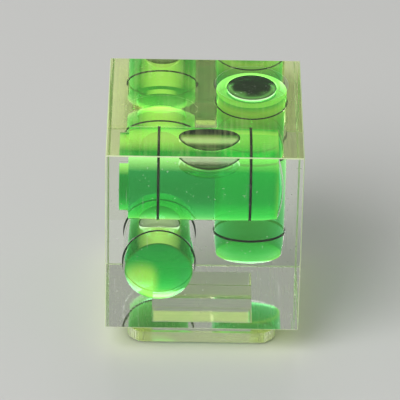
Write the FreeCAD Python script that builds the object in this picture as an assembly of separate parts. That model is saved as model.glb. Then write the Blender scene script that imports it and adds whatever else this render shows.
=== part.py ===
import FreeCAD, Part
import os
from collections import namedtuple

# Clear acrylic spirit level that slides into a camera's accessory shoe.
# One moulded block with its foot holds three bores, each filled with dyed liquid and closed by a glued plug:
# the roll vial lies along X, the pitch vial along Y, and the plumb vial stands along Z.
# Lengths are in millimetres. +Z is up, +Y points away from whoever faces the roll vial,
# and the origin is the middle of the foot's underside.

Vector = FreeCAD.Vector

# Walls of acrylic round the bores, which set the size of the block
pitch_side_wall = 2.05
plumb_side_wall = 1.7
pitch_to_plumb_web = 2.25
roll_front_wall = 1.85
plumb_back_wall = 1.65
roll_to_plumb_web = 2.5
pitch_floor_wall = 2.85
roll_roof_wall = 2.1
roll_to_pitch_web = 1.95
roll_end_wall = 2.3
pitch_end_wall = 2.4
plumb_end_wall = 3.75
block_edge_round = 0.2

# Accessory shoe foot
foot_width = 18.6
foot_length = 19.4
foot_thickness = 2.0
foot_corner_radius = 2.2
foot_edge_bevel = 0.3
neck_width = 12.5
neck_height = 1.8
neck_corner_radius = 0.3

# Bore, the same in all three vials: a barrel crowned at its middle, a tapered tip and a shallow domed end
bore_radius = 4.5
bore_crown = 0.07
barrel_margin = 1.6
tip_rim_radius = 4.2
tip_dome_height = 0.7

# Index lines: thin black bands in grooves of the barrel
line_spacing = 11.26
line_inset = 3.67
line_width = 0.32
line_thickness = 0.12
line_gap = 0.02

# Plugs, glued into the open end of each bore against a small shoulder
plug_shoulder = 0.17
plug_fit = 0.02
roll_plug_length = 2.7
pitch_plug_length = 2.6
plumb_plug_length = 2.15
recess_radius = 3.3
recess_depth = 1.1

# Liquid and the bubble in each vial
liquid_gap = 0.02
bubble_gap = 0.2
bubble_skin = 0.05
lying_bubble_length = 7.5
lying_bubble_width = 5.2
lying_bubble_height = 3.6
lying_bubble_sink = 1.2
roll_bubble_shift = 0.55
standing_bubble_droop = 1.9
standing_bubble_shoulder = 0.45

# Sizes that follow from those above
bore_diameter = 2 * bore_radius
block_width = pitch_side_wall + plumb_side_wall + pitch_to_plumb_web + 2 * bore_diameter
block_depth = roll_front_wall + plumb_back_wall + roll_to_plumb_web + 2 * bore_diameter
block_height = pitch_floor_wall + roll_roof_wall + roll_to_pitch_web + 2 * bore_diameter
block_base = foot_thickness + neck_height
block_top = block_base + block_height
line_reach = line_spacing / 2
barrel_half = line_reach + barrel_margin
barrel_end_radius = bore_radius - bore_crown
plug_reach = line_reach + line_inset
plug_hole_radius = barrel_end_radius + plug_shoulder
groove_half_width = line_width / 2 + line_gap
groove_depth = line_thickness + line_gap
cut_margin = 1.0

# A vial's middle lies halfway between its two index lines; tip and face are the distances from there
# to the top of the domed end and to the outer face of the plug.
Vial = namedtuple("Vial", "name middle towards_plug tip face lower_line upper_line")


def make_vial(name, start, towards_plug, span, plug_length, end_wall, lower_line, upper_line):
    """A vial whose plug opens at the point start of a face, with span of acrylic behind that face."""
    middle = start - towards_plug * (plug_length + plug_reach)
    tip = span - end_wall - plug_length - plug_reach
    return Vial(name, middle, towards_plug, tip, plug_length + plug_reach, lower_line, upper_line)


def vials():
    roll_y = roll_front_wall + bore_radius - block_depth / 2
    roll_z = block_top - roll_roof_wall - bore_radius
    pitch_x = pitch_side_wall + bore_radius - block_width / 2
    pitch_z = block_base + pitch_floor_wall + bore_radius
    plumb_x = block_width / 2 - plumb_side_wall - bore_radius
    plumb_y = block_depth / 2 - plumb_back_wall - bore_radius
    roll = make_vial("roll", Vector(-block_width / 2, roll_y, roll_z), Vector(-1, 0, 0),
                     block_width, roll_plug_length, roll_end_wall, "right", "left")
    pitch = make_vial("pitch", Vector(pitch_x, block_depth / 2, pitch_z), Vector(0, 1, 0),
                      block_depth, pitch_plug_length, pitch_end_wall, "front", "back")
    plumb = make_vial("plumb", Vector(plumb_x, plumb_y, block_top), Vector(0, 0, 1),
                      block_height, plumb_plug_length, plumb_end_wall, "lower", "upper")
    return roll, pitch, plumb


def barrel_radius(s):
    """The barrel's radius at the distance s from the vial's middle."""
    return bore_radius - bore_crown * (s / barrel_half) ** 2


def line_edge(start, end):
    return Part.LineSegment(Vector(start[1], 0, start[0]), Vector(end[1], 0, end[0])).toShape()


def arc_edge(start, between, end):
    points = [Vector(p[1], 0, p[0]) for p in (start, between, end)]
    return Part.Arc(*points).toShape()


def barrel_edge(start, end, shrink=0.0):
    """A stretch of the crowned barrel wall, drawn smaller by shrink."""
    stations = (start, (start + end) / 2, end)
    return arc_edge(*[(s, barrel_radius(s) - shrink) for s in stations])


def revolve(edges):
    """Turns a closed profile, drawn as (distance along the axis, radius), about the Z axis."""
    face = Part.Face(Part.Wire(edges))
    return face.revolve(Vector(0, 0, 0), Vector(0, 0, 1), 360)


def ring(inner, outer, low, high):
    """A plain ring about the Z axis."""
    body = Part.makeCylinder(outer, high - low, Vector(0, 0, low))
    hole = Part.makeCylinder(inner, high - low, Vector(0, 0, low))
    return body.cut(hole)


def on_vial(shape, vial):
    """Carries a shape drawn about the Z axis, with the plug end up, to its vial."""
    turn = FreeCAD.Rotation(Vector(0, 0, 1), vial.towards_plug)
    placed = shape.copy()
    placed.Placement = FreeCAD.Placement(vial.middle, turn).multiply(shape.Placement)
    return placed


def ball_across(rim_radius, depth, low):
    """A ball that passes through the axis at low and is rim_radius wide at the height depth above that.

    Its poles lie to the sides, where its surface isn't used, so that no fan of facets meets on the axis.
    """
    radius = (rim_radius ** 2 + depth ** 2) / (2 * depth)
    return Part.makeSphere(radius, Vector(0, 0, low + radius), Vector(1, 0, 0))


def tip(vial, shrink):
    """The tapered tip of a bore with its domed end, drawn smaller by shrink."""
    top = shrink - vial.tip
    rim = top + tip_dome_height
    rim_radius = tip_rim_radius - shrink
    wall = barrel_end_radius - shrink
    low = top - cut_margin
    slope = (wall - rim_radius) / (-barrel_half - rim)
    taper = Part.makeCone(rim_radius - slope * (rim - low), wall, -barrel_half - low, Vector(0, 0, low))
    return taper.common(ball_across(rim_radius, tip_dome_height, top))


def groove_edges(s):
    """A groove for an index line, centred at the distance s from the vial's middle."""
    low = s - groove_half_width
    high = s + groove_half_width
    floor = barrel_radius(s) + groove_depth
    return [
        line_edge((low, barrel_radius(low)), (low, floor)),
        line_edge((low, floor), (high, floor)),
        line_edge((high, floor), (high, barrel_radius(high))),
    ]


def bore_space(vial):
    """What is cut from the block for one vial, out through the face that its plug closes."""
    mouth = vial.face + cut_margin
    edges = [line_edge((-barrel_half, 0), (-barrel_half, barrel_end_radius))]
    edges.append(barrel_edge(-barrel_half, -line_reach - groove_half_width))
    edges += groove_edges(-line_reach)
    edges.append(barrel_edge(groove_half_width - line_reach, line_reach - groove_half_width))
    edges += groove_edges(line_reach)
    edges.append(barrel_edge(line_reach + groove_half_width, barrel_half))
    edges.append(line_edge((barrel_half, barrel_end_radius), (plug_reach, barrel_end_radius)))
    edges.append(line_edge((plug_reach, barrel_end_radius), (plug_reach, plug_hole_radius)))
    edges.append(line_edge((plug_reach, plug_hole_radius), (mouth, plug_hole_radius)))
    edges.append(line_edge((mouth, plug_hole_radius), (mouth, 0)))
    edges.append(line_edge((mouth, 0), (-barrel_half, 0)))
    return on_vial(revolve(edges).fuse(tip(vial, 0.0)), vial)


def liquid_space(vial, with_recess):
    """The liquid in one vial without its bubble, up to the plug or into the plug's recess."""
    wall = barrel_end_radius - liquid_gap
    face = plug_reach - liquid_gap
    edges = [line_edge((-barrel_half, 0), (-barrel_half, wall))]
    edges.append(barrel_edge(-barrel_half, barrel_half, liquid_gap))
    edges.append(line_edge((barrel_half, wall), (face, wall)))
    end = face
    if with_recess:
        throat = recess_radius - liquid_gap
        end = face + recess_depth
        edges.append(line_edge((face, wall), (face, throat)))
        edges.append(line_edge((face, throat), (end, throat)))
        edges.append(line_edge((end, throat), (end, 0)))
    else:
        edges.append(line_edge((face, wall), (end, 0)))
    edges.append(line_edge((end, 0), (-barrel_half, 0)))
    return on_vial(revolve(edges).fuse(tip(vial, liquid_gap)), vial)


def ellipsoid(middle, size_x, size_y, size_z):
    ball = Part.makeSphere(1.0)
    matrix = FreeCAD.Matrix()
    matrix.scale(size_x / 2, size_y / 2, size_z / 2)
    matrix.move(middle)
    return ball.transformGeometry(matrix)


def lying_bubble(vial, shift, grow):
    """A flat oval bubble whose upper side follows the roof of its bore.

    It lies shift from the vial's middle, towards the tip, and is larger by grow.
    """
    along = lying_bubble_length + 2 * grow
    across = lying_bubble_width + 2 * grow
    tall = lying_bubble_height + 2 * grow
    middle = vial.middle - vial.towards_plug * shift + Vector(0, 0, bore_radius - lying_bubble_sink)
    if abs(vial.towards_plug.x) > 0.5:
        body = ellipsoid(middle, along, across, tall)
    else:
        body = ellipsoid(middle, across, along, tall)
    roof = Part.makeCylinder(bore_radius - bubble_gap + grow, 2 * vial.tip, Vector(0, 0, -vial.tip))
    return body.common(on_vial(roof, vial))


def standing_bubble(vial, grow):
    """The round bubble that floats up into a plug's recess: an upright side over a drooping belly."""
    radius = recess_radius - bubble_gap + grow
    top = plug_reach + recess_depth - bubble_gap + grow
    low = plug_reach - standing_bubble_droop - grow
    side = Part.makeCylinder(radius, top - low + cut_margin, Vector(0, 0, low - cut_margin))
    side = side.makeFillet(standing_bubble_shoulder, rim_edges(side, (top,)))
    return on_vial(side.common(ball_across(radius, plug_reach - low, low)), vial)


def index_line(vial, s):
    """A black band in its groove, flush with the wall of the barrel."""
    inner = barrel_radius(s)
    band = ring(inner, inner + line_thickness, s - line_width / 2, s + line_width / 2)
    return on_vial(band, vial)


def plug(vial):
    radius = plug_hole_radius - plug_fit
    body = Part.makeCylinder(radius, vial.face - plug_reach, Vector(0, 0, plug_reach))
    recess = Part.makeCylinder(recess_radius, recess_depth, Vector(0, 0, plug_reach))
    return on_vial(body.cut(recess), vial)


def centred_box(width, depth, low, high):
    return Part.makeBox(width, depth, high - low, Vector(-width / 2, -depth / 2, low))


def upright_edges(shape):
    """The edges that run along Z."""
    return [e for e in shape.Edges if abs(e.tangentAt(e.FirstParameter).z) > 0.99]


def rim_edges(shape, heights):
    """The edges that lie flat at one of the heights."""
    found = []
    for edge in shape.Edges:
        box = edge.BoundBox
        for height in heights:
            if abs(box.ZMin - height) < 0.001 and abs(box.ZMax - height) < 0.001:
                found.append(edge)
    return found


def foot():
    """The plate that runs under the shoe's rails, and the narrower neck between them.

    It is moulded in one with the block, but is its own node, so that the rails' slots stay open in collision.
    """
    plate = centred_box(foot_width, foot_length, 0, foot_thickness)
    plate = plate.makeFillet(foot_corner_radius, upright_edges(plate))
    plate = plate.makeChamfer(foot_edge_bevel, rim_edges(plate, (0, foot_thickness)))
    neck = centred_box(neck_width, foot_length, foot_thickness, block_base)
    neck = neck.makeFillet(neck_corner_radius, upright_edges(neck))
    # The neck starts inside the plate, so that the plate's bevelled rim doesn't undercut its ends.
    root = centred_box(neck_width - 2 * neck_corner_radius, foot_length - 2 * foot_edge_bevel,
                       foot_thickness / 2, foot_thickness)
    return plate.fuse([root, neck]).removeSplitter()


def block(all_vials):
    body = centred_box(block_width, block_depth, block_base, block_top)
    body = body.makeFillet(block_edge_round, body.Edges)
    for vial in all_vials:
        body = body.cut(bore_space(vial))
    return body.removeSplitter()


def write(name, shape):
    solids = shape.Solids
    if len(solids) != 1 or not shape.isValid():
        raise RuntimeError(f"{name}: {len(solids)} solids, valid {shape.isValid()}")
    solids[0].exportStep(f"parts/{name}.step")


def main():
    os.makedirs("parts", exist_ok=True)
    roll, pitch, plumb = vials()
    write("block", block((roll, pitch, plumb)))
    write("foot", foot())
    for vial in (roll, pitch, plumb):
        write(f"{vial.name}_vial_plug", plug(vial))
        write(f"{vial.name}_line_{vial.lower_line}", index_line(vial, -line_reach))
        write(f"{vial.name}_line_{vial.upper_line}", index_line(vial, line_reach))
    for vial, shift in ((roll, roll_bubble_shift), (pitch, 0.0)):
        write(f"{vial.name}_bubble", lying_bubble(vial, shift, 0.0))
        write(f"{vial.name}_liquid", liquid_space(vial, True).cut(lying_bubble(vial, shift, bubble_skin)))
    write("plumb_bubble", standing_bubble(plumb, 0.0))
    write("plumb_liquid", liquid_space(plumb, False).cut(standing_bubble(plumb, bubble_skin)))


main()
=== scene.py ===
import math

import bmesh
import bpy
from mathutils import Matrix, Vector


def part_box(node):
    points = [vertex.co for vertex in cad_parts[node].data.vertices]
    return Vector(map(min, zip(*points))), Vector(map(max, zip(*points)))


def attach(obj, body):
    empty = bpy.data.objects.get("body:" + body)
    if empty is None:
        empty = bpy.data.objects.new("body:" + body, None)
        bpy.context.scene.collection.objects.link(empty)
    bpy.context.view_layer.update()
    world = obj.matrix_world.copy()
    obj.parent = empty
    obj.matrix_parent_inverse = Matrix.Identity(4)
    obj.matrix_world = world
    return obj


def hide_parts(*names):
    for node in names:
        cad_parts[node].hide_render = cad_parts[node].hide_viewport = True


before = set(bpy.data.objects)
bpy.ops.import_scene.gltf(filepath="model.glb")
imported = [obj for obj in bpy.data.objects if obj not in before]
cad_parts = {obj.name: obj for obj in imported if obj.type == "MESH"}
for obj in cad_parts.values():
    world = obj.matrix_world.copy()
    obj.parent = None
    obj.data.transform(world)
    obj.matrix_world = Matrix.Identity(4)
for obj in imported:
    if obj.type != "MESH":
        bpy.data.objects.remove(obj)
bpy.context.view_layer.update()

# A clear acrylic spirit level on an accessory shoe foot. Everything is in metres, in the frame of the solids:
# +Z is up, +X runs along the roll vial, and the origin is the middle of the foot's underside.
MM = 0.001

# Camera
camera_azimuth = math.radians(-0.49)
camera_elevation = math.radians(31.82)
camera_roll = math.radians(1.13)
camera_distance = 410.0 * MM
camera_lens = 293.9
camera_target = Vector((-0.42, 0.0, 15.2)) * MM

# Refractive indices
acrylic_index = 1.49
liquid_index = 1.465

# Forms of the bore that no box of a solid gives
barrel_crown = 0.07 * MM
barrel_margin = 1.6 * MM
tip_rim_radius = 4.2 * MM
tip_dome_height = 0.7 * MM
groove_side = 0.02 * MM
plug_shoulder = 0.17 * MM
recess_radius = 3.3 * MM
recess_depth = 1.1 * MM
liquid_gap = 0.02 * MM
line_rounding = 0.03 * MM
# Widths and depth of the painted glow and the painted shade on the liquid's skin
rim_glow_width = 0.4 * MM
rim_shade_width = 0.8 * MM
glow_depth = 5.0 * MM

# Shares of the painted yellow glow, for light that gathers at the rim of a vial's domed end and towards its
# plug
rim_glow = {"roll": 0.3, "pitch": 0.1, "plumb": 0.35}
end_glow = {"roll": 0.0, "pitch": 0.45, "plumb": 0.8}

# Bubbles
bubble_gap = 0.2 * MM
lying_bubble_height = 3.6 * MM
lying_bubble_rim = 0.25 * MM
standing_bubble_droop = 1.9 * MM
standing_bubble_shoulder = 0.45 * MM

# A dark sheet over each bubble paints its shade and takes away the painted glow of the liquid's skin;
# it moves with the bubble. It lies the sheet depth under the roof of the bore, and the liquid's top is
# the sheet room lower than the solid's.
sheet_room = 0.19 * MM
sheet_depth = 0.165 * MM
sheet_droop = 0.035 * MM
sheet_thickness = 0.004 * MM
sheet_to_bubble = 0.12 * MM
standing_sheet_room = 0.09 * MM
sheet_shade_strength = {"roll": 1.0, "pitch": 0.4}

# Block and foot
block_edge_round = 0.12 * MM
block_edge_steps = 4
foot_thickness = 2.0 * MM
neck_height = 1.8 * MM
foot_size = Vector((18.6, 19.4)) * MM
foot_corner_radius = 2.2 * MM
foot_edge_bevel = 0.3 * MM
neck_width = 12.5 * MM
neck_corner_radius = 0.3 * MM
block_base = foot_thickness + neck_height

turn_steps = 128
cut_margin = 1.0 * MM
hair = 0.001 * MM


class Signal:
    """A value in a node tree, with the signs of arithmetic."""

    def __init__(self, sheet, socket):
        self.sheet = sheet
        self.socket = socket

    def __add__(self, other):
        return self.sheet.maths("ADD", self, other)

    def __radd__(self, other):
        return self.sheet.maths("ADD", other, self)

    def __sub__(self, other):
        return self.sheet.maths("SUBTRACT", self, other)

    def __mul__(self, other):
        return self.sheet.maths("MULTIPLY", self, other)

    def __rmul__(self, other):
        return self.sheet.maths("MULTIPLY", other, self)

    def __truediv__(self, other):
        return self.sheet.maths("DIVIDE", self, other)

    def __gt__(self, other):
        return self.sheet.maths("GREATER_THAN", self, other)


class Sheet:
    """A node tree that is written as expressions."""

    def __init__(self, tree):
        self.tree = tree

    def node(self, kind, settings=None, inputs=None, output=0):
        """One node with its settings and the values or links of its sockets. It gives one output."""
        made = self.tree.nodes.new(kind)
        for name, value in (settings or {}).items():
            setattr(made, name, value)
        for name, value in (inputs or {}).items():
            named = [s for s in made.inputs if s.name == name and s.enabled]
            socket = made.inputs[name] if isinstance(name, int) else named[0]
            if isinstance(value, Signal):
                self.tree.links.new(value.socket, socket)
            else:
                socket.default_value = value
        if isinstance(output, int):
            return Signal(self, made.outputs[output])
        return Signal(self, [s for s in made.outputs if s.name == output and s.enabled][0])

    def maths(self, operation, *values):
        return self.node("ShaderNodeMath", {"operation": operation}, dict(enumerate(values)))

    def split(self, vector):
        made = self.node("ShaderNodeSeparateXYZ", {}, {"Vector": vector})
        return [Signal(self, socket) for socket in made.socket.node.outputs]

    def join(self, x, y, z):
        return self.node("ShaderNodeCombineXYZ", {}, {"X": x, "Y": y, "Z": z})

    def clamp(self, value):
        return self.node("ShaderNodeClamp", {}, {"Value": value})

    def mark(self, name):
        """The value that a mesh keeps under a name at each of its points."""
        return self.node("ShaderNodeAttribute", {"attribute_name": name}, output="Fac")

    def mix(self, factor, first, second):
        return self.node("ShaderNodeMix", {"data_type": "RGBA"},
                         {"Factor": factor, "A": first, "B": second}, output="Result")


class Finish(Sheet):
    """The node tree of one material."""

    def __init__(self, name):
        self.material = bpy.data.materials.new(name)
        self.material.use_nodes = True
        super().__init__(self.material.node_tree)
        self.tree.nodes.clear()
        self.output = self.tree.nodes.new("ShaderNodeOutputMaterial")

    def place(self):
        return self.node("ShaderNodeTexCoord", output="Object")

    def noise(self, vector, scale, detail):
        return self.node("ShaderNodeTexNoise", {}, {"Vector": vector, "Scale": scale, "Detail": detail})

    def surface(self, shader):
        self.tree.links.new(shader.socket, self.output.inputs["Surface"])

    def volume(self, shader):
        self.tree.links.new(shader.socket, self.output.inputs["Volume"])


def clear_skin():
    """The polished outer skin of the acrylic, with faint smears, specks and hairline scratches."""
    sheet = Finish("clear_acrylic")
    place = sheet.place()
    cloud = sheet.noise(place, 180.0, 3.0)
    specks = (sheet.noise(place, 3400.0, 1.0) > 0.73) * (cloud > 0.5)
    drawn = sheet.node("ShaderNodeMapping", {}, {"Vector": place, "Scale": (3600.0, 3600.0, 150.0)})
    hairlines = (sheet.noise(drawn, 1.0, 1.0) > 0.735) * (cloud > 0.46)
    clear = sheet.node("ShaderNodeBsdfPrincipled", {}, {
        "Base Color": (0.95, 0.97, 0.91, 1.0),
        "Roughness": 0.004 + 0.012 * cloud,
        "IOR": acrylic_index,
        "Transmission Weight": 1.0,
    })
    dust = sheet.node("ShaderNodeBsdfDiffuse", {}, {"Color": (0.86, 0.89, 0.80, 1.0)})
    amount = 0.35 * specks + 0.14 * hairlines
    sheet.surface(sheet.node("ShaderNodeMixShader", {}, {0: amount, 1: clear, 2: dust}))
    return sheet.material


def brushed_face(name, stretch, haze, haze_spread, roughness, tint, veil_and_glow_colour, painted_glow=0.0, from_below=0.0):
    """Acrylic that a cutter left with fine scratches, which spread a veil of light over it.

    stretch gives the scratches' density along X, Y and Z, the glow strength is a painted glow of the
    veil for the light that gathers from within, and from_below is how much more of the veil and its
    painted glow shows to whoever looks up at the face.
    """
    sheet = Finish(name)
    place = sheet.place()
    drawn = sheet.node("ShaderNodeMapping", {}, {"Vector": place, "Scale": stretch})
    scratches = sheet.noise(drawn, 1.0, 2.0)
    cloud = sheet.noise(place, 260.0, 3.0)
    dents = sheet.node("ShaderNodeBump", {}, {"Strength": 0.2, "Distance": 0.02 * MM, "Height": scratches})
    clear = sheet.node("ShaderNodeBsdfPrincipled", {}, {
        "Base Color": (*tint, 1.0),
        "Roughness": roughness + roughness * cloud,
        "IOR": acrylic_index,
        "Transmission Weight": 1.0,
        "Normal": dents,
    })
    # The veil is haze from the scratches; its emission is a painted glow.
    veil = sheet.node("ShaderNodeBsdfPrincipled", {}, {
        "Base Color": (*veil_and_glow_colour, 1.0),
        "Roughness": 0.9,
        "Emission Color": (*veil_and_glow_colour, 1.0),
        "Emission Strength": painted_glow,
    })
    facing_up = sheet.split(sheet.node("ShaderNodeNewGeometry", output="Normal"))[2]
    amount = haze + haze_spread * (scratches + cloud) + from_below * sheet.clamp(-4.0 * facing_up - 1.0)
    sheet.surface(sheet.node("ShaderNodeMixShader", {}, {0: amount, 1: clear, 2: veil}))
    return sheet.material


def wetted_wall():
    """The wall of a bore where liquid lies against the acrylic."""
    sheet = Finish("wetted_acrylic")
    sheet.surface(sheet.node("ShaderNodeBsdfPrincipled", {}, {
        "Base Color": (1.0, 1.0, 1.0, 1.0),
        "Roughness": 0.0,
        "IOR": acrylic_index / liquid_index,
        "Transmission Weight": 1.0,
    }))
    return sheet.material


def glue_seam():
    """The glued joint round a plug, which the cement has made all but invisible."""
    sheet = Finish("glue_seam")
    sheet.surface(sheet.node("ShaderNodeBsdfTransparent", {}, {"Color": (0.985, 0.99, 0.975, 1.0)}))
    return sheet.material


def dyed_liquid():
    """Fluorescent liquid: it absorbs red and blue, and its skin has a painted glow for its fluorescence.

    The painted glow is yellower where the skin faces up, as if lit from above, and where the marks
    lit and gathered put painted light. The skin's clear share is darker at the rims and in the roll
    vial's recess, as painted shade.
    """
    sheet = Finish("green_liquid")
    # Painted shade: the clear share is darker at the dome's rim and in the roll vial's recess.
    rim_and_recess_shade_tint = sheet.mix(sheet.mark("rim_and_recess_shade"), (1.0, 1.0, 1.0, 1.0), (0.42, 0.80, 0.50, 1.0))
    clear = sheet.node("ShaderNodeBsdfTransparent", {}, {"Color": rim_and_recess_shade_tint})
    facing_up = sheet.split(sheet.node("ShaderNodeNewGeometry", output="Normal"))[2]
    # Painted light: a yellower glow where the skin faces up, as if lit from above.
    upward = sheet.clamp(4.0 * facing_up - 3.0)
    body = sheet.mix(upward, (0.014, 0.12, 0.02, 1.0), (0.36, 0.66, 0.13, 1.0))
    # Painted light: a greener glow where the mark lit puts it.
    lit = sheet.mix(sheet.mark("lit"), body, (0.02, 0.42, 0.07, 1.0))
    # Painted light: a yellow glow where the mark gathered puts it.
    hue = sheet.mix(sheet.mark("gathered"), lit, (0.38, 0.60, 0.08, 1.0))
    # The emission is a painted glow that stands in for the dye's fluorescence.
    painted_glow = sheet.node("ShaderNodeEmission", {}, {"Color": hue, "Strength": 1.0})
    sheet.surface(sheet.node("ShaderNodeAddShader", {}, {0: clear, 1: painted_glow}))
    sheet.volume(sheet.node("ShaderNodeVolumeAbsorption", {}, {
        "Color": (0.08, 0.71, 0.40, 1.0), "Density": 540.0}))
    return sheet.material


def bubble_skin():
    """The surface between the liquid and the air of a bubble, with painted shade where it turns the light
    away.

    Its underside has a painted glow for the light that the liquid below sends up, and its roof a painted
    highlight for the sky's reflection.
    """
    sheet = Finish("bubble_air")
    # Painted shade: the glass is darkened where the mark shade is high.
    tint = sheet.mix(sheet.mark("shade"), (0.95, 0.97, 0.94, 1.0), (0.08, 0.12, 0.07, 1.0))
    clear = sheet.node("ShaderNodeBsdfGlass", {}, {
        "Color": tint, "Roughness": 0.0, "IOR": 1.0 / liquid_index})
    # Painted glow below and painted highlight on the roof, as emission.
    gleam = sheet.mix(sheet.mark("gleam"), (0.0, 0.0, 0.0, 1.0), (0.60, 0.76, 0.28, 1.0))
    shine = sheet.mix(sheet.mark("shine"), gleam, (0.58, 0.53, 0.50, 1.0))
    light = sheet.node("ShaderNodeEmission", {}, {"Color": shine, "Strength": 1.0})
    sheet.surface(sheet.node("ShaderNodeAddShader", {}, {0: clear, 1: light}))
    return sheet.material


def bubble_film():
    """A dark sheet over a bubble that paints its shade and takes away the painted glow of the liquid's skin.
    """
    sheet = Finish("bubble_film")
    tint = sheet.mix(sheet.mark("shade"), (0.66, 0.64, 0.66, 1.0), (0.16, 0.18, 0.15, 1.0))
    sheet.surface(sheet.node("ShaderNodeBsdfTransparent", {}, {"Color": tint}))
    return sheet.material


def black_band():
    """The matt black of an index line, slightly uneven."""
    sheet = Finish("black_line")
    grain = sheet.noise(sheet.place(), 3000.0, 2.0)
    sheet.surface(sheet.node("ShaderNodeBsdfPrincipled", {}, {
        "Base Color": (0.006, 0.008, 0.006, 1.0),
        "Roughness": 0.45 + 0.2 * grain,
    }))
    return sheet.material


def pale_floor():
    sheet = Finish("pale_floor")
    sheet.surface(sheet.node("ShaderNodeBsdfDiffuse", {}, {"Color": (0.62, 0.62, 0.61, 1.0)}))
    return sheet.material


skin = clear_skin()
# Painted glow: the worn edges shine with emission for the liquid's light carried by the block.
edge_skin = brushed_face(
    "worn_edges", stretch=(900.0, 900.0, 900.0), haze=0.30, haze_spread=0.35, roughness=0.25,
    tint=(0.90, 0.93, 0.85), veil_and_glow_colour=(0.74, 0.80, 0.50), painted_glow=0.15)
# Painted light: the top face's strong yellow tint paints the yellow-green of light entering from above.
brushed = brushed_face(
    "brushed_top", stretch=(2600.0, 30.0, 30.0), haze=-0.33, haze_spread=0.36, roughness=0.02,
    tint=(0.88, 0.97, 0.38), veil_and_glow_colour=(0.80, 0.98, 0.40))
# Painted glow: the underside shines strongly with emission, most of all when seen from below.
underside = brushed_face(
    "block_underside", stretch=(2600.0, 30.0, 30.0), haze=0.0, haze_spread=0.06, roughness=0.03,
    tint=(0.95, 0.97, 0.88), veil_and_glow_colour=(0.80, 0.94, 0.42), painted_glow=0.5, from_below=0.8)
neck_skin = brushed_face(
    "neck_faces", stretch=(60.0, 60.0, 5200.0), haze=0.0, haze_spread=0.06, roughness=0.02,
    tint=(0.95, 0.97, 0.88), veil_and_glow_colour=(0.80, 0.86, 0.60))
# Painted glow: a faint emission on the sole.
sole = brushed_face(
    "foot_sole", stretch=(60.0, 2400.0, 60.0), haze=0.06, haze_spread=0.16, roughness=0.02,
    tint=(0.95, 0.97, 0.88), veil_and_glow_colour=(0.70, 0.76, 0.38), painted_glow=0.1)
# Painted light: the milled foot's yellow tint and its emission stand for the liquid's light in the block.
milled = brushed_face(
    "milled_foot", stretch=(60.0, 60.0, 5200.0), haze=0.02, haze_spread=0.26, roughness=0.10,
    tint=(0.93, 0.97, 0.72), veil_and_glow_colour=(0.70, 0.84, 0.32), painted_glow=0.12)
wetted = wetted_wall()
seam = glue_seam()
liquid = dyed_liquid()
air = bubble_skin()
shade_sheet = bubble_film()
black = black_band()


def mesh_object(name, work, materials):
    """A plain mesh object from a bmesh."""
    mesh = bpy.data.meshes.new(name)
    work.to_mesh(mesh)
    work.free()
    for material in materials:
        mesh.materials.append(material)
    made = bpy.data.objects.new(name, mesh)
    bpy.context.scene.collection.objects.link(made)
    return made


def smooth(made, angle=30.0):
    """Smooth shading, but edges sharper than the angle and faces square to the frame stay sharp."""
    mesh = made.data
    mesh.set_sharp_from_angle(angle=math.radians(angle))
    curved = [max(abs(part) for part in face.normal) < 0.999999 for face in mesh.polygons]
    mesh.polygons.foreach_set("use_smooth", curved)
    mesh.update()


def bake(made):
    """Turns an object's modifiers into its plain mesh."""
    bpy.context.view_layer.update()
    done = made.evaluated_get(bpy.context.evaluated_depsgraph_get())
    mesh = bpy.data.meshes.new_from_object(done)
    made.modifiers.clear()
    made.data = mesh


class Recipe(Sheet):
    """A Geometry Nodes tree with named sizes."""

    def __init__(self, name, sizes):
        group = bpy.data.node_groups.new(name, "GeometryNodeTree")
        super().__init__(group)
        self.keys = {}
        for size in sizes:
            socket = group.interface.new_socket(size, in_out="INPUT", socket_type="NodeSocketFloat")
            self.keys[size] = socket.identifier
        group.interface.new_socket("Geometry", in_out="OUTPUT", socket_type="NodeSocketGeometry")
        self.entry = group.nodes.new("NodeGroupInput")
        self.exit = group.nodes.new("NodeGroupOutput")

    def size(self, name):
        return Signal(self, self.entry.outputs[name])

    def finish(self, geometry, material):
        real = self.node("GeometryNodeRealizeInstances", {}, {"Geometry": geometry})
        done = self.node("GeometryNodeSetMaterial", {}, {"Geometry": real, "Material": material})
        self.tree.links.new(done.socket, self.exit.inputs[0])

    def build(self, name, sizes, matrix):
        """A plain mesh object made by the tree with these sizes and carried to its place."""
        made = mesh_object(name, bmesh.new(), [])
        modifier = made.modifiers.new("recipe", "NODES")
        modifier.node_group = self.tree
        for size, value in sizes.items():
            modifier[self.keys[size]] = value
        bake(made)
        made.data.transform(matrix)
        return made


def band_recipe():
    """The two index lines of a vial: a thin section with soft corners, swept round the bore, at both ends."""
    recipe = Recipe("index_bands", ["Radius", "Width", "Thickness", "Rounding", "Reach"])
    thickness = recipe.size("Thickness")
    hoop = recipe.node("GeometryNodeCurvePrimitiveCircle", {"mode": "RADIUS"}, {
        "Resolution": 160, "Radius": recipe.size("Radius") - thickness * 0.5})
    section = recipe.node("GeometryNodeCurvePrimitiveQuadrilateral", {"mode": "RECTANGLE"}, {
        "Width": thickness, "Height": recipe.size("Width")})
    soft = recipe.node("GeometryNodeFilletCurve", {"mode": "POLY"}, {
        "Curve": section, "Radius": recipe.size("Rounding"), "Count": 2})
    band = recipe.node("GeometryNodeCurveToMesh", {}, {"Curve": hoop, "Profile Curve": soft})
    reach = recipe.size("Reach")
    places = recipe.node("GeometryNodeMeshLine", {"mode": "END_POINTS"}, {
        "Count": 2,
        "Start Location": recipe.join(0.0, 0.0, -1.0 * reach),
        "Offset": recipe.join(0.0, 0.0, reach),
    })
    copies = recipe.node("GeometryNodeInstanceOnPoints", {}, {"Points": places, "Instance": band})
    recipe.finish(copies, black)
    return recipe


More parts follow.
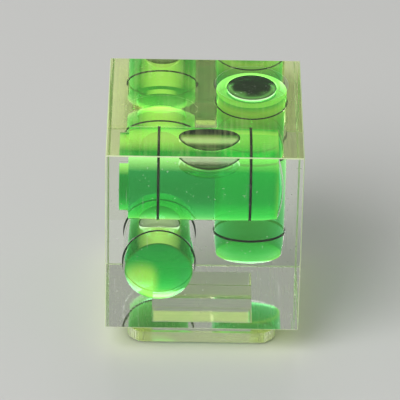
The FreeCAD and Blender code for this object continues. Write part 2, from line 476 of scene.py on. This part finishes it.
def bubble_recipe():
    """A bubble that lies along X under the roof of a bore: an egg shape that the roof flattens above."""
    recipe = Recipe("lying_bubble", ["Length", "Width", "Height", "Lift", "Roof", "Rim"])
    ball = recipe.node("GeometryNodeMeshUVSphere", {}, {"Segments": 160, "Rings": 100, "Radius": 0.5})
    x, y, z = recipe.split(recipe.node("GeometryNodeInputPosition"))
    x = x * recipe.size("Length")
    y = y * recipe.size("Width")
    z = z * recipe.size("Height") + recipe.size("Lift")
    radius = recipe.maths("SQRT", y * y + z * z)
    pressed = recipe.maths("SMOOTH_MIN", radius, recipe.size("Roof"), recipe.size("Rim")) / radius
    egg = recipe.node("GeometryNodeSetPosition", {}, {
        "Geometry": ball, "Position": recipe.join(x, y * pressed, z * pressed)})
    recipe.finish(egg, air)
    return recipe


index_bands = band_recipe()
lying_bubbles = bubble_recipe()


class Vial:
    """Where one vial lies and how long it is, read from the boxes of its solids."""

    def __init__(self, name, axis, towards_plug, lower_line, upper_line):
        self.name = name
        self.axis = axis
        self.lines = [f"{name}_line_{lower_line}", f"{name}_line_{upper_line}"]
        boxes = [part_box(line) for line in self.lines]
        centres = [(low + high) / 2 for low, high in boxes]
        self.middle = (centres[0] + centres[1]) / 2
        self.line_reach = (centres[1] - centres[0]).length / 2
        self.line_width = boxes[0][1][axis] - boxes[0][0][axis]
        side = (axis + 1) % 3
        self.line_radius = (boxes[0][1][side] - boxes[0][0][side]) / 2
        low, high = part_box(f"{name}_liquid")
        across = (axis + 1) % 3 if name != "plumb" else 0
        self.bore_radius = (high[across] - low[across]) / 2 + liquid_gap
        tips = [abs(corner[axis] - self.middle[axis]) for corner in (low, high)]
        self.tip = tips[0 if towards_plug > 0 else 1] + liquid_gap
        low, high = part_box(f"{name}_vial_plug")
        ends = sorted(abs(corner[axis] - self.middle[axis]) for corner in (low, high))
        self.plug_reach, self.face = ends
        turn_to = Vector((0.0, 0.0, 0.0))
        turn_to[axis] = towards_plug
        turn = Vector((0.0, 0.0, 1.0)).rotation_difference(turn_to).to_matrix().to_4x4()
        self.matrix = Matrix.Translation(self.middle) @ turn
        self.barrel_half = self.line_reach + barrel_margin
        self.end_radius = self.bore_radius - barrel_crown

    def radius(self, s):
        return self.bore_radius - barrel_crown * (s / self.barrel_half) ** 2


vials = [
    Vial("roll", 0, -1, "right", "left"),
    Vial("pitch", 1, 1, "front", "back"),
    Vial("plumb", 2, 1, "lower", "upper"),
]


def stations(start, end, count):
    return [start + (end - start) * step / count for step in range(count + 1)]


def arc(middle, radius, start, end, count):
    """Points (distance, radius) on an arc in a profile, with angles measured from the axis."""
    return [(middle[0] + radius * math.cos(angle), middle[1] + radius * math.sin(angle))
            for angle in stations(start, end, count)]


def tip_profile(vial, shrink):
    """Points (distance, radius) from the tip of the dome to the start of the barrel."""
    rim_radius = tip_rim_radius - shrink
    top = shrink - vial.tip
    sphere = (rim_radius ** 2 + tip_dome_height ** 2) / (2 * tip_dome_height)
    reach = math.asin(rim_radius / sphere)
    dome = arc((top + sphere, 0.0), sphere, math.pi, math.pi - reach, 12)
    dome[0] = (top, 0.0)
    rim = top + tip_dome_height
    wall = vial.end_radius - shrink
    taper = [(s, rim_radius + (wall - rim_radius) * (s - rim) / (-vial.barrel_half - rim))
             for s in stations(rim, -vial.barrel_half, 6)]
    return dome + taper[1:-1]


def barrel_profile(vial, start, end, shrink=0.0, count=14):
    return [(s, vial.radius(s) - shrink) for s in stations(start, end, count)]


def groove_profile(vial, s):
    half = vial.line_width / 2 + groove_side
    floor = vial.line_radius + groove_side
    return [(s - half, floor), (s + half, floor)]


def bore_profile(vial):
    """The wall of the bore, from the dome to past the block's face."""
    half = vial.line_width / 2 + groove_side
    reach = vial.line_reach
    mouth = vial.face + cut_margin
    points = tip_profile(vial, 0.0)
    points += barrel_profile(vial, -vial.barrel_half, -reach - half)
    points += groove_profile(vial, -reach)
    points += barrel_profile(vial, half - reach, reach - half)
    points += groove_profile(vial, reach)
    points += barrel_profile(vial, reach + half, vial.barrel_half)
    hole = vial.end_radius + plug_shoulder
    points += [(vial.plug_reach, vial.end_radius), (vial.plug_reach, hole), (mouth, hole), (mouth, 0.0)]
    return points


def liquid_profile(vial):
    face = vial.plug_reach - liquid_gap
    throat = recess_radius - liquid_gap
    end = face + recess_depth - (standing_sheet_room if vial.name == "plumb" else 0.0)
    points = tip_profile(vial, liquid_gap)
    points += barrel_profile(vial, -vial.barrel_half, vial.barrel_half, liquid_gap, 48)
    points += [(face, vial.end_radius - liquid_gap), (face, throat), (end, throat), (end, 0.0)]
    return points


def plug_profile(vial):
    radius = vial.end_radius + plug_shoulder - groove_side
    bottom = vial.plug_reach + recess_depth
    return [(bottom, 0.0), (bottom, recess_radius), (vial.plug_reach, recess_radius),
            (vial.plug_reach, vial.end_radius), (vial.plug_reach, radius),
            (vial.face, radius), (vial.face, 0.0)]


def standing_bubble_profile(vial):
    """The round bubble that floats up into the plug's recess: a belly, a wall and a soft shoulder."""
    radius = recess_radius - bubble_gap
    face = vial.plug_reach
    top = face + recess_depth - bubble_gap
    belly = (radius ** 2 + standing_bubble_droop ** 2) / (2 * standing_bubble_droop)
    reach = math.asin(radius / belly)
    points = arc((face - standing_bubble_droop + belly, 0.0), belly, math.pi, math.pi - reach, 24)
    points[0] = (face - standing_bubble_droop, 0.0)
    shoulder = standing_bubble_shoulder
    points += arc((top - shoulder, radius - shoulder), shoulder, math.pi / 2, 0.0, 12)
    return points + [(top, 0.0)]


def revolve(profile, matrix, slots=None):
    """A closed bmesh of a profile turned about the vial's axis. slots gives each stretch's material index."""
    work = bmesh.new()
    rings = []
    for s, radius in profile:
        ring = []
        for step in range(turn_steps if radius > 0.0 else 1):
            angle = 2 * math.pi * step / turn_steps
            outward = Vector((math.cos(angle), math.sin(angle), 0.0))
            ring.append(work.verts.new(matrix @ (outward * radius + Vector((0.0, 0.0, s)))))
        rings.append(ring)
    for index, (low, high) in enumerate(zip(rings, rings[1:])):
        for step in range(turn_steps):
            after = (step + 1) % turn_steps
            corners = [low[step % len(low)], low[after % len(low)],
                       high[after % len(high)], high[step % len(high)]]
            face = work.faces.new(list(dict.fromkeys(corners)))
            face.material_index = slots[index] if slots else 0
    bmesh.ops.recalc_face_normals(work, faces=work.faces)
    return work


def rounded_box(low, high, corner, edge, steps=1, slots=(0, 0)):
    """A box whose upright edges have the radius corner and whose rims are broken by the size edge.

    steps is 1 for a plain bevel, and slots gives the material index of the faces and of the broken edges.
    """
    work = bmesh.new()
    bmesh.ops.create_cube(work, size=1.0)
    middle = (low + high) / 2
    size = high - low
    for vertex in work.verts:
        vertex.co = Vector([middle[i] + vertex.co[i] * size[i] for i in range(3)])
    if corner:
        upright = [e for e in work.edges if abs((e.verts[0].co - e.verts[1].co).normalized().z) > 0.9]
        bmesh.ops.bevel(work, geom=upright, offset=corner, segments=10, affect="EDGES", profile=0.5)
    if edge:
        chosen = work.edges
        if corner:
            chosen = [e for e in work.edges
                      if all(abs(abs(v.co.z - middle.z) - size.z / 2) < 1e-7 for v in e.verts)]
        bmesh.ops.bevel(work, geom=list(chosen), offset=edge, segments=steps, affect="EDGES", profile=0.5)
    bmesh.ops.recalc_face_normals(work, faces=work.faces)
    for face in work.faces:
        flat = max(abs(face.normal[i]) for i in range(3)) > 0.9999
        face.material_index = slots[0] if flat else slots[1]
    return work


def join_by(target, tool, operation):
    """Applies a boolean with the tool to the target and removes the tool."""
    modifier = target.modifiers.new("join", "BOOLEAN")
    modifier.operation = operation
    modifier.object = tool
    modifier.solver = "EXACT"
    modifier.material_mode = "TRANSFER"
    bake(target)
    bpy.data.objects.remove(tool)


def bore_slots(profile, vial):
    """Wetted wall up to the plug, glued seam beyond it."""
    return [0 if profile[index][0] < vial.plug_reach - hair else 1 for index in range(len(profile) - 1)]


def mark(made, name, share):
    """Stores a value from 0 to 1 at each point, where share gives it from the point's place and normal."""
    layer = made.data.attributes.new(name, "FLOAT", "POINT")
    values = [share(vertex.co, vertex.normal) for vertex in made.data.vertices]
    layer.data.foreach_set("value", [min(1.0, max(0.0, value)) for value in values])


def ride_as(made, body, slot, *nodes):
    """Smooth shading, and the body and the solids that a piece stands for. The finish it is given is not
    used.
    """
    smooth(made)
    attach(made, body)
    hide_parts(*nodes)


def make_block():
    """The block with its foot and the three bores, one moulding."""
    low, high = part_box("block")
    half_foot = foot_size / 2
    rim = 0.5 * foot_edge_bevel
    body = mesh_object("acrylic_block", rounded_box(
        Vector((low.x, low.y, block_base)), high, 0.0, block_edge_round, block_edge_steps, (0, 1)),
        [skin, edge_skin, brushed])
    neck = mesh_object("neck", rounded_box(
        Vector((-neck_width / 2, rim - half_foot.y, foot_thickness / 2)),
        Vector((neck_width / 2, half_foot.y - rim, block_base + foot_thickness / 2)),
        neck_corner_radius, 0.0), [neck_skin, neck_skin, underside])
    plate = mesh_object("plate", rounded_box(
        Vector((-half_foot.x, -half_foot.y, 0.0)), Vector((half_foot.x, half_foot.y, foot_thickness)),
        foot_corner_radius, foot_edge_bevel), [milled])
    join_by(body, neck, "UNION")
    join_by(body, plate, "UNION")
    finishes = list(body.data.materials)
    finishes.append(sole)
    body.data.materials.append(sole)
    top, under, clear, base = [finishes.index(finish) for finish in (brushed, underside, neck_skin, sole)]
    for face in body.data.polygons:
        if abs(face.center.z - high.z) < hair:
            face.material_index = top
        elif abs(face.center.z - block_base) < hair:
            face.material_index = under
        elif face.center.z < hair:
            face.material_index = base
        elif face.normal.y > 0.99 and face.center.z < foot_thickness:
            face.material_index = clear
    for vial in vials:
        profile = bore_profile(vial)
        bore = revolve(profile, vial.matrix, bore_slots(profile, vial))
        tool = mesh_object(f"{vial.name}_bore", bore, [wetted, seam])
        join_by(body, tool, "DIFFERENCE")
    ride_as(body, "root", "clear_acrylic", "block", "foot")


def make_plug(vial):
    slots = [1, 1, 1, 2, 2, 0]
    form = revolve(plug_profile(vial), vial.matrix, slots)
    made = mesh_object(f"{vial.name}_clear_plug", form, [skin, wetted, seam])
    ride_as(made, "root", "clear_acrylic", f"{vial.name}_vial_plug")


def smooth_step(value):
    value = min(1.0, max(0.0, value))
    return value * value * (3.0 - 2.0 * value)


def rim_distance(vial, local):
    """How far a point, given in the vial's own frame, lies from the rim of the domed end."""
    return math.hypot(local.z + vial.tip - tip_dome_height, math.hypot(local.x, local.y) - tip_rim_radius)


def mark_light(made, vial):
    """Stores where the liquid's skin gets painted light and painted shade.

    A painted yellow glow lies at the rim of the domed end, near the top of the plumb vial, at the
    far end of the pitch vial and low on its dome. A painted green glow shows on that dome, on the
    roll vial before the plumb vial, and near the top of the plumb vial. Painted shade darkens the
    skin at the rims and in the roll vial's recess.
    """
    to_vial = vial.matrix.inverted()
    dome_end = tip_dome_height - vial.tip + 2.0 * hair

    def gathered(place, normal):
        local = to_vial @ place
        share = rim_glow[vial.name] * (1.0 - rim_distance(vial, local) / rim_glow_width)
        depth_share = end_glow[vial.name] * math.exp((local.z - vial.plug_reach) / glow_depth)
        if local.z > vial.plug_reach - liquid_gap - hair:
            depth_share *= 0.2
        # The painted yellow patch of light low on the pitch vial's dome
        if vial.name == "pitch" and local.z < dome_end:
            offset = (place - vial.middle) / MM
            reach = math.hypot(offset.x + 2.0, offset.z + 1.8)
            left = smooth_step(0.35 - 0.6 * offset.x) * smooth_step(1.6 - 0.42 * reach)
            share = max(share, 0.8 * left, -1.0 * offset.z - 2.6)
        return max(share, depth_share)

    def lit(place, normal):
        if vial.name == "roll":
            before_plumb = (place.x - vials[2].middle.x + vials[2].bore_radius) / MM
            return 0.42 * smooth_step(before_plumb) if normal.y < 0.2 else 0.0
        if vial.name == "plumb":
            return 0.5 * math.exp(((to_vial @ place).z - vial.plug_reach) / glow_depth)
        return 0.5 if (to_vial @ place).z < dome_end else 0.0

    # Painted shade: darker skin at the dome's rim and in the roll vial's recess.
    def rim_and_recess_shade(place, normal):
        local = to_vial @ place
        if local.z > vial.plug_reach - liquid_gap - hair and math.hypot(local.x, local.y) < recess_radius:
            return 1.0 if vial.name == "roll" else 0.0
        return 1.3 - rim_distance(vial, local) / rim_shade_width

    mark(made, "gathered", gathered)
    mark(made, "lit", lit)
    mark(made, "rim_and_recess_shade", rim_and_recess_shade)


def make_room_for_sheet(made, vial):
    """Lowers the top of a lying vial's liquid a little, so that the shade sheet over the bubble fits above
    it.
    """
    for vertex in made.data.vertices:
        outward = vertex.co - vial.middle
        outward[vial.axis] = 0.0
        if outward.length > 0.0:
            outward.normalize()
            vertex.co -= outward * sheet_room * smooth_step(3.0 * outward.z - 1.0)


def make_liquid(vial):
    made = mesh_object(f"{vial.name}_dyed_liquid", revolve(liquid_profile(vial), vial.matrix), [liquid])
    if vial.name != "plumb":
        make_room_for_sheet(made, vial)
    mark_light(made, vial)
    ride_as(made, "root", "green_liquid", f"{vial.name}_liquid")


def make_lines(vial):
    thickness = vial.line_radius - vial.radius(vial.line_reach)
    made = index_bands.build(f"{vial.name}_index_bands", {
        "Radius": vial.line_radius, "Width": vial.line_width, "Thickness": thickness,
        "Rounding": line_rounding, "Reach": vial.line_reach}, vial.matrix)
    ride_as(made, "root", "black_line", *vial.lines)


def sheet_painted_shade(vial, place, low, high):
    """How dark the sheet's painted shade is: its rim and far side, less so its near side,
    or the middle of a round bubble.
    """
    centre, half = (low + high) / 2, (high - low) / 2
    along, across = (place.x - centre.x) / half.x, (place.y - centre.y) / half.y
    reach = math.hypot(along, across)
    rim = smooth_step(10.0 * reach - 9.0) if vial.name != "plumb" else smooth_step(20.0 * reach - 18.8)
    far = smooth_step(3.0 * across - 0.2)
    if vial.name == "plumb":
        # Painted highlights: lighter spots in the plumb bubble's painted shade.
        left_glint = smooth_step(1.6 - 3.6 * math.hypot(along + 0.5, 1.4 * across + 0.75))
        right_glint = smooth_step(1.3 - 4.0 * math.hypot(along - 0.5, 1.4 * across + 0.6))
        middle = smooth_step(6.0 * (0.86 - reach)) * smooth_step(1.6 + 1.5 * across)
        return max(rim, far, 0.93 * middle * (1.0 - 0.8 * left_glint - 0.4 * right_glint))
    near = 0.5 * smooth_step(-3.0 * across - 1.2) * smooth_step(7.0 * (across + 0.92))
    return sheet_shade_strength[vial.name] * max(rim, far, near)


def disc_profile(top):
    """A thin unit disc at a height, to be stretched over a bubble."""
    spread = stations(0.0, 1.0, 24)
    bottom = top - sheet_thickness
    return [(top, radius) for radius in spread] + [(bottom, radius) for radius in reversed(spread)]


def make_shade_sheet(vial):
    """The dark sheet over a bubble that paints its shade, stretched to its outline.

    For a lying vial it is bent round the bore and droops at its ends, to clear the tapered tip.
    """
    node = f"{vial.name}_bubble"
    low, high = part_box(node)
    centre, half = (low + high) / 2, (high - low) / 2
    made = mesh_object(f"{vial.name}_bubble_film", revolve(disc_profile(0.0), Matrix.Identity(4)), [shade_sheet])
    for vertex in made.data.vertices:
        along = vertex.co[vial.axis] if vial.name != "plumb" else 0.0
        roof = vial.bore_radius - sheet_depth - sheet_droop * along ** 2
        place = Vector((centre.x + half.x * vertex.co.x, centre.y + half.y * vertex.co.y, 0.0))
        if vial.name == "plumb":
            place.z = vial.middle.z + vial.plug_reach + recess_depth - standing_sheet_room / 2 + vertex.co.z
        else:
            side = 1 - vial.axis
            angle = math.asin((place[side] - vial.middle[side]) / roof)
            place[side] = vial.middle[side] + (roof + vertex.co.z) * math.sin(angle)
            place.z = vial.middle.z + (roof + vertex.co.z) * math.cos(angle)
        vertex.co = place
    mark(made, "shade", lambda place, normal: sheet_painted_shade(vial, place, low, high))
    ride_as(made, node, "bubble_air")


def make_lying_bubble(vial):
    """A bubble under the roof of its bore: painted shade on its steep sides, a painted highlight on the roof
    and a painted glow below.
    """
    node = f"{vial.name}_bubble"
    low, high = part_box(node)
    centre = (low + high) / 2
    size = high - low
    turn = Matrix.Rotation(math.pi / 2 * vial.axis, 4, "Z")
    place = Vector((centre.x, centre.y, vial.middle.z))
    made = lying_bubbles.build(f"{vial.name}_air_bubble", {
        "Length": size[vial.axis], "Width": size[1 - vial.axis], "Height": lying_bubble_height,
        "Lift": low.z + lying_bubble_height / 2 - vial.middle.z,
        "Roof": high.z - vial.middle.z - sheet_to_bubble,
        "Rim": lying_bubble_rim}, Matrix.Translation(place) @ turn)

    # Painted shade on the steep sides and far roof, a painted glow low on the far side, a painted highlight
    # on the near roof.
    def shade(place, normal):
        steep = min(1.0, 3.0 * math.hypot(normal.x, normal.y) - 0.9)
        return max(steep * (0.4 + 0.35 * normal.y), 3.0 * normal.y * (normal.z > 0.0))

    def gleam(place, normal):
        return 1.2 - 3.5 * abs(normal.y - 0.5) if normal.z < 0.0 else 0.0

    def shine(place, normal):
        return smooth_step(1.3 - 4.5 * abs(normal.y + 0.17)) if normal.z > 0.0 else 0.0

    mark(made, "shade", shade)
    mark(made, "gleam", gleam)
    mark(made, "shine", shine)
    ride_as(made, node, "bubble_air", node)


def make_standing_bubble(vial):
    """The plumb vial's bubble: painted shade below, with a painted glow there,
    and a pale crescent of painted highlight on its near shoulder.
    """
    node = f"{vial.name}_bubble"
    made = mesh_object(f"{vial.name}_air_bubble", revolve(standing_bubble_profile(vial), vial.matrix), [air])
    # Painted shade on the belly, a painted highlight on the near shoulder and a painted glow low on the far
    # side.
    mark(made, "shade", lambda place, normal: -2.0 * normal.z)
    mark(made, "shine", lambda place, normal: smooth_step(-1.6 * normal.y - 0.2) if normal.z > 0.15 else 0.0)
    mark(made, "gleam", lambda place, normal: 1.1 - 6.0 * abs(normal.y - 0.45) if normal.z < -0.3 else 0.0)
    ride_as(made, node, "bubble_air", node)


make_block()
for vial in vials:
    make_plug(vial)
    make_liquid(vial)
    make_lines(vial)
    if vial.name == "plumb":
        make_standing_bubble(vial)
    else:
        make_lying_bubble(vial)
    make_shade_sheet(vial)


def make_floor():
    work = bmesh.new()
    bmesh.ops.create_grid(work, x_segments=1, y_segments=1, size=3.0)
    floor = mesh_object("floor", work, [pale_floor()])
    floor.location.z = -0.05 * MM


def make_lights():
    world = bpy.data.worlds.new("studio")
    bpy.context.scene.world = world
    world.use_nodes = True
    world.node_tree.nodes["Background"].inputs["Color"].default_value = (0.96, 0.97, 0.94, 1.0)
    world.node_tree.nodes["Background"].inputs["Strength"].default_value = 0.35
    for name, place, size, power in (
            ("key_light", (-0.4, -0.45, 0.65), 0.6, 6.0),
            ("back_light", (0.0, 0.6, 0.72), 0.4, 0.9),
            ("low_back_light", (0.0, 0.9, 0.33), 0.24, 0.2)):
        lamp = bpy.data.lights.new(name, "AREA")
        lamp.size = size
        lamp.energy = power
        made = bpy.data.objects.new(name, lamp)
        bpy.context.scene.collection.objects.link(made)
        made.location = place
        made.rotation_euler = (-Vector(place)).to_track_quat("-Z", "Y").to_euler()


def make_camera():
    back = Vector((math.sin(camera_azimuth) * math.cos(camera_elevation),
                   -math.cos(camera_azimuth) * math.cos(camera_elevation), math.sin(camera_elevation)))
    level = Vector((math.cos(camera_azimuth), math.sin(camera_azimuth), 0.0))
    rise = back.cross(level)
    right = level * math.cos(camera_roll) + rise * math.sin(camera_roll)
    up = rise * math.cos(camera_roll) - level * math.sin(camera_roll)
    lens = bpy.data.cameras.new("camera")
    lens.lens = camera_lens
    lens.sensor_width = 36.0
    lens.clip_start = 0.01
    made = bpy.data.objects.new("camera", lens)
    bpy.context.scene.collection.objects.link(made)
    turn = Matrix((right, up, back)).transposed().to_4x4()
    made.matrix_world = Matrix.Translation(camera_target + back * camera_distance) @ turn
    bpy.context.scene.camera = made


make_floor()
make_lights()
make_camera()

scene = bpy.context.scene
scene.view_settings.view_transform = "Standard"
scene.cycles.max_bounces = 24
scene.cycles.transmission_bounces = 24
scene.cycles.transparent_max_bounces = 24
scene.cycles.glossy_bounces = 8
